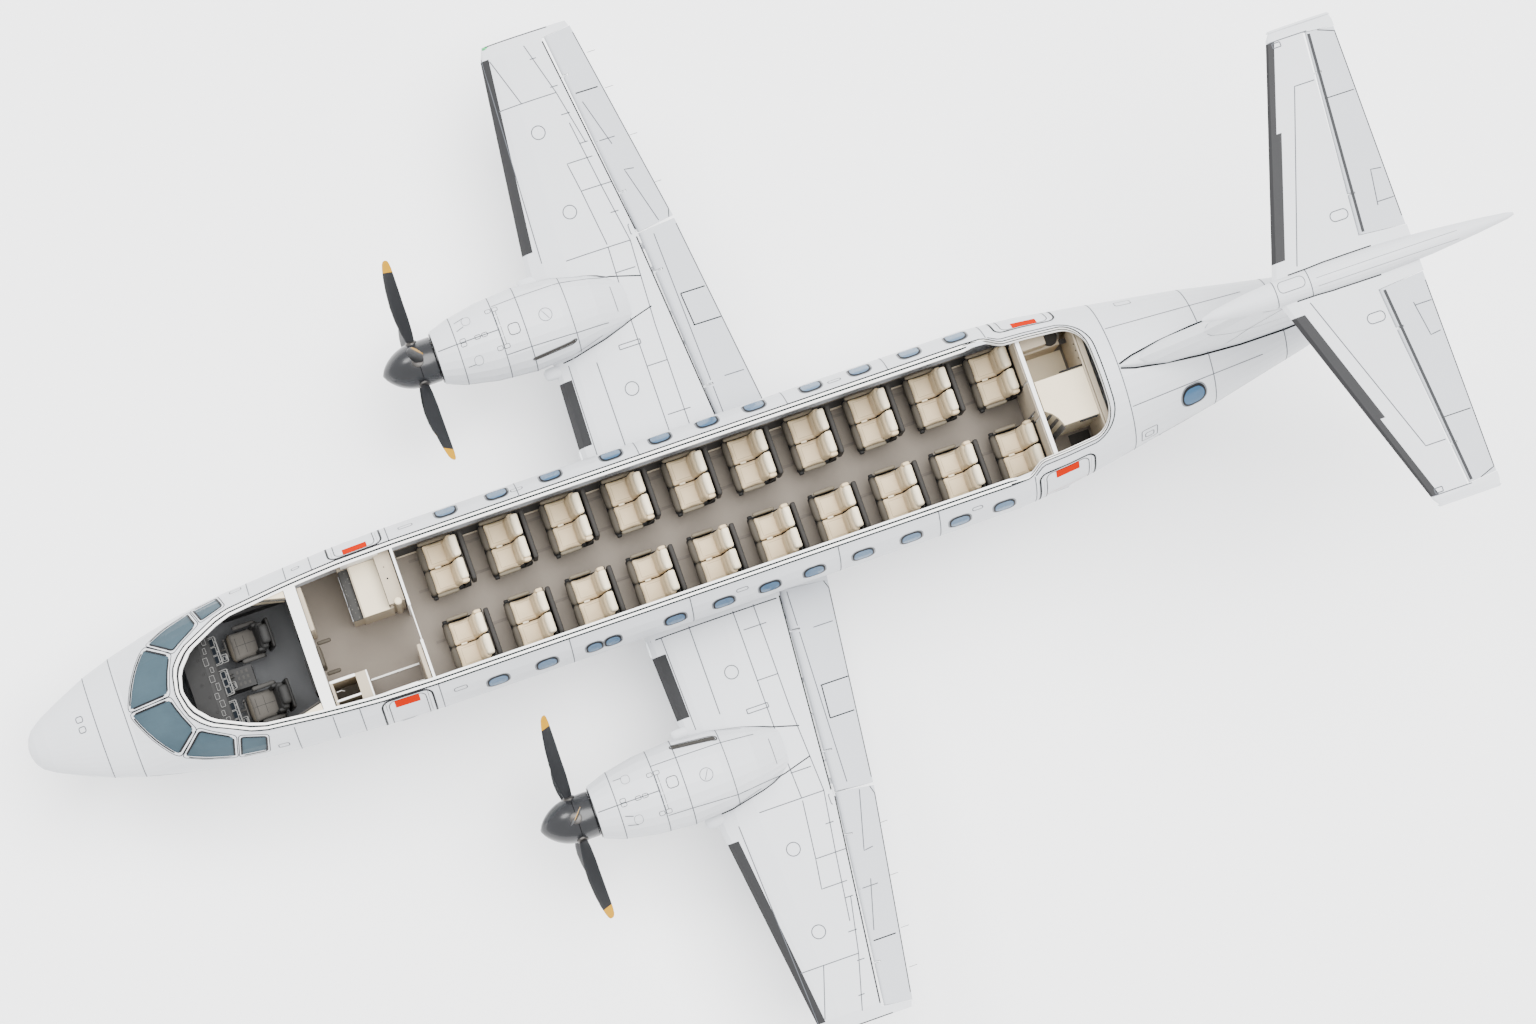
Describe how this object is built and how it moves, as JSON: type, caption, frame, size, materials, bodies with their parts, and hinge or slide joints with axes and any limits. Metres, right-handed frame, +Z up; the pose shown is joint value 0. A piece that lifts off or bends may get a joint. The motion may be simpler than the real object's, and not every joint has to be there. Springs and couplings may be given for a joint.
{
  "type": "turboprop airliner",
  "caption": "Turboprop airliner with low wings and a T-tail, its roof cut away over cockpit, cabin, galley and lavatory; control surfaces, wheels, propellers and airstair move.",
  "frame": {"origin": "on the ground below the middle of the hull's length and width", "axes": "+X towards the nose, +Y to port, +Z up"},
  "size_m": [23, 15.94, 6.933],
  "materials": {
    "white_paint": "satin",
    "painted_composite": "satin",
    "grey_metal": "satin",
    "charcoal": "matte",
    "tyre_rubber": "matte",
    "cabin_trim": "matte",
    "cabin_carpet": "matte",
    "seat_leather": "satin",
    "pilot_fabric": "matte",
    "window_glass": "gloss",
    "engine_casting": "matte"
  },
  "bodies": {
    "airframe": {"aft_door_left": "white_paint", "aft_door_right": "white_paint", "aft_section": "white_paint", "cabin_floor": "cabin_carpet", "cabin_section": "white_paint", "cockpit_bulkhead": "white_paint", "cockpit_section": "white_paint", "engine_left": "engine_casting", "engine_right": "engine_casting", "entry_section": "white_paint", "fin": "painted_composite", "galley": "cabin_trim", "instrument_panel": "charcoal", "lavatory_module": "cabin_trim", "lavatory_partition": "cabin_trim", "main_gear_leg_left": "grey_metal", "main_gear_leg_right": "grey_metal", "nacelle_left": "white_paint", "nacelle_right": "white_paint", "nose_cone": "painted_composite", "nose_gear_leg": "grey_metal", "partition_left": "cabin_trim", "partition_right": "cabin_trim", "pedestal": "charcoal", "pilot_seat_left": "pilot_fabric", "pilot_seat_right": "pilot_fabric", "rear_bulkhead": "cabin_trim", "rear_window_left": "window_glass", "rear_window_right": "window_glass", "seats_left": "seat_leather", "seats_right": "seat_leather", "service_door": "white_paint", "side_window_left": "window_glass", "side_window_right": "window_glass", "tail_bullet": "painted_composite", "tail_section": "white_paint", "tailplane": "painted_composite", "vanity": "cabin_trim", "wardrobe": "cabin_trim", "windshield_left": "window_glass", "windshield_right": "window_glass", "wing_fairing": "painted_composite", "wing_left": "white_paint", "wing_right": "white_paint"},
    "propeller_left": {"propeller_left": "charcoal"},
    "propeller_right": {"propeller_right": "charcoal"},
    "nose_steering": {"nose_gear_fork": "grey_metal"},
    "nose_wheels": {"nose_wheels": "tyre_rubber"},
    "main_wheels_left": {"main_wheels_left": "tyre_rubber"},
    "main_wheels_right": {"main_wheels_right": "tyre_rubber"},
    "flap_left": {"flap_left": "white_paint"},
    "flap_right": {"flap_right": "white_paint"},
    "aileron_left": {"aileron_left": "white_paint"},
    "aileron_right": {"aileron_right": "white_paint"},
    "elevator_left": {"elevator_left": "painted_composite"},
    "elevator_right": {"elevator_right": "painted_composite"},
    "rudder": {"rudder": "painted_composite"},
    "entry_door": {"entry_door": "white_paint"}
  },
  "joints": [
    {"name": "propeller_left_spin", "type": "hinge", "parent": "airframe", "child": "propeller_left", "pos_m": [4.1, 3.65, 2.4], "axis": [1, 0, 0], "continuous": true},
    {"name": "propeller_right_spin", "type": "hinge", "parent": "airframe", "child": "propeller_right", "pos_m": [4.1, -3.65, 2.4], "axis": [1, 0, 0], "continuous": true},
    {"name": "nose_steering", "type": "hinge", "parent": "airframe", "child": "nose_steering", "pos_m": [9.35, 0, 0.98], "axis": [0, 0, 1], "range_deg": [-60, 60]},
    {"name": "nose_wheels_roll", "type": "hinge", "parent": "nose_steering", "child": "nose_wheels", "pos_m": [9.35, 0, 0.31606], "axis": [0, 1, 0], "continuous": true},
    {"name": "main_wheels_left_roll", "type": "hinge", "parent": "airframe", "child": "main_wheels_left", "pos_m": [0.55, 3.65, 0.44446], "axis": [0, 1, 0], "continuous": true},
    {"name": "main_wheels_right_roll", "type": "hinge", "parent": "airframe", "child": "main_wheels_right", "pos_m": [0.55, -3.65, 0.44446], "axis": [0, 1, 0], "continuous": true},
    {"name": "flap_left_hinge", "type": "hinge", "parent": "airframe", "child": "flap_left", "pos_m": [-0.1, 1.37, 1.69898], "axis": [-0.0844, -0.9912, -0.1015], "range_deg": [0, 35]},
    {"name": "flap_right_hinge", "type": "hinge", "parent": "airframe", "child": "flap_right", "pos_m": [-0.1, -1.37, 1.69898], "axis": [0.0844, -0.9912, 0.1015], "range_deg": [0, 35]},
    {"name": "aileron_left_hinge", "type": "hinge", "parent": "airframe", "child": "aileron_left", "pos_m": [0.172, 4.56, 2.02575], "axis": [-0.1295, -0.9865, -0.1006], "range_deg": [-20, 20]},
    {"name": "aileron_right_hinge", "type": "hinge", "parent": "airframe", "child": "aileron_right", "pos_m": [0.172, -4.56, 2.02575], "axis": [0.1295, -0.9865, 0.1006], "range_deg": [-20, 20]},
    {"name": "elevator_left_hinge", "type": "hinge", "parent": "airframe", "child": "elevator_left", "pos_m": [-9.3, 0.42, 6.7], "axis": [0.0847, -0.9964, 0], "range_deg": [-25, 15]},
    {"name": "elevator_right_hinge", "type": "hinge", "parent": "airframe", "child": "elevator_right", "pos_m": [-9.3, -0.42, 6.7], "axis": [-0.0847, -0.9964, 0], "range_deg": [-25, 15]},
    {"name": "rudder_hinge", "type": "hinge", "parent": "airframe", "child": "rudder", "pos_m": [-9.62, 0, 4.06], "axis": [-0.156, 0, 0.9878], "range_deg": [-25, 25]},
    {"name": "entry_door_hinge", "type": "hinge", "parent": "airframe", "child": "entry_door", "pos_m": [5.91, 1.15218, 1.91], "axis": [-1, 0, 0], "range_deg": [0, 130]}
  ],
  "couplings": [
    {"joint": "aileron_right_hinge", "follows": "aileron_left_hinge", "ratio": -1},
    {"joint": "elevator_right_hinge", "follows": "elevator_left_hinge", "ratio": 1},
    {"joint": "flap_right_hinge", "follows": "flap_left_hinge", "ratio": 1}
  ]
}
